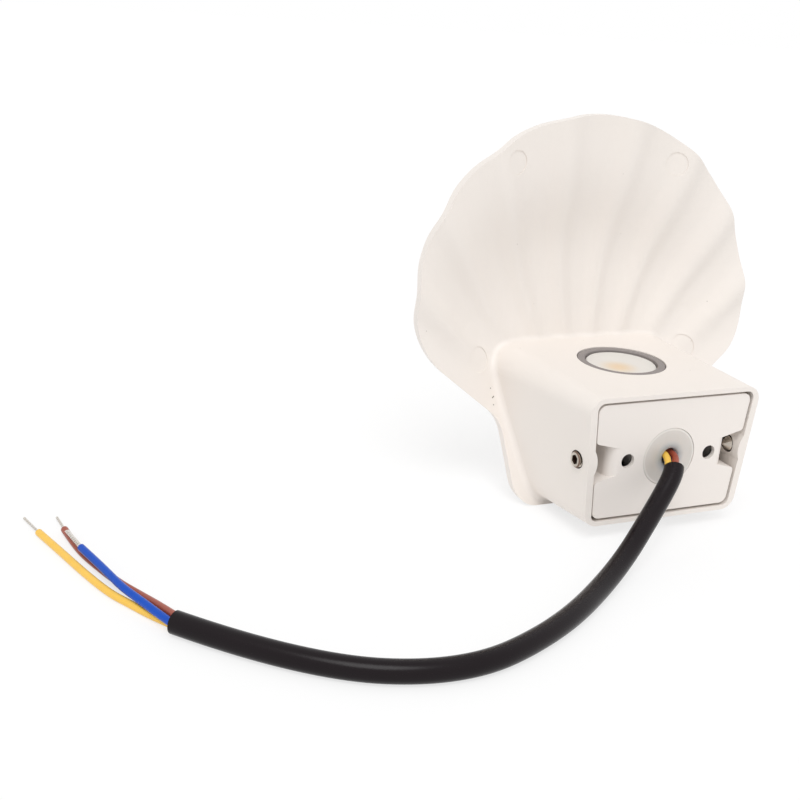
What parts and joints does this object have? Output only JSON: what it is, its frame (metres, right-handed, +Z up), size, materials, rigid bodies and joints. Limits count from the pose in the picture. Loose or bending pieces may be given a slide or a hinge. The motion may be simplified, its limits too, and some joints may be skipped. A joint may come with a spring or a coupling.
{
  "type": "outdoor wall sconce",
  "caption": "Small white die-cast outdoor wall sconce: fluted scallop front, lamp box with an uplight lens, clamped wall plate and a free mains cord.",
  "frame": {"origin": "middle of the wall plate's rear face, on the cord gland's axis and midway between the wall-screw holes", "axes": "+Z up as hung, +Y out of the lamp's back into the wall, +X to the left as seen from behind"},
  "size_m": [0.2427, 0.1244, 0.1175],
  "materials": {
    "white_paint": "satin powder coat on a zinc die casting",
    "clear_rubber": "milky translucent silicone",
    "stainless_steel": "turned stainless steel",
    "frosted_glass": "frosted",
    "grey_rubber": "matt silicone",
    "bright_metal": "vacuum metallised",
    "aluminium": "plain",
    "zinc_steel": "bright zinc plated",
    "white_ceramic": "matt",
    "yellow_phosphor": "silicone with phosphor",
    "red_insulation": "extruded",
    "black_insulation": "extruded",
    "green_laminate": "solder mask on glass laminate",
    "black_plastic": "moulded",
    "tinned_brass": "tin plated",
    "black_pvc": "soft satin extrusion",
    "brown_insulation": "extruded",
    "blue_insulation": "extruded",
    "yellow_insulation": "extruded",
    "tinned_copper": "fine tinned strands, twisted"
  },
  "bodies": {
    "lamp": {"shell_body": "white_paint", "mounting_plate": "white_paint", "cable_gland": "clear_rubber", "lens": "frosted_glass", "lens_seal": "grey_rubber", "reflector": "bright_metal", "led_board": "aluminium", "led_board_screws": "zinc_steel", "led_carrier": "white_ceramic", "led_phosphor": "yellow_phosphor", "led_positive_lead": "red_insulation", "led_negative_lead": "black_insulation", "driver_board": "green_laminate", "driver_screws": "zinc_steel", "driver_transformer": "black_plastic", "driver_capacitor": "aluminium", "driver_rectifier": "black_plastic", "driver_fuse": "frosted_glass", "earth_terminal": "tinned_brass", "earth_screw": "zinc_steel", "cord_sheath": "black_pvc", "brown_tail": "brown_insulation", "blue_tail": "blue_insulation", "yellow_tail": "yellow_insulation", "brown_core": "brown_insulation", "blue_core": "blue_insulation", "yellow_core": "yellow_insulation", "brown_strands": "tinned_copper", "blue_strands": "tinned_copper", "yellow_strands": "tinned_copper"},
    "left_screw": {"left_set_screw": "stainless_steel"},
    "right_screw": {"right_set_screw": "stainless_steel"}
  },
  "joints": [
    {"name": "left_screw_slide", "type": "slide", "parent": "lamp", "child": "left_screw", "axis": [-1, 0, 0], "range_m": [-0.0024, 0.0026]},
    {"name": "right_screw_slide", "type": "slide", "parent": "lamp", "child": "right_screw", "axis": [1, 0, 0], "range_m": [-0.0024, 0.0026]}
  ]
}
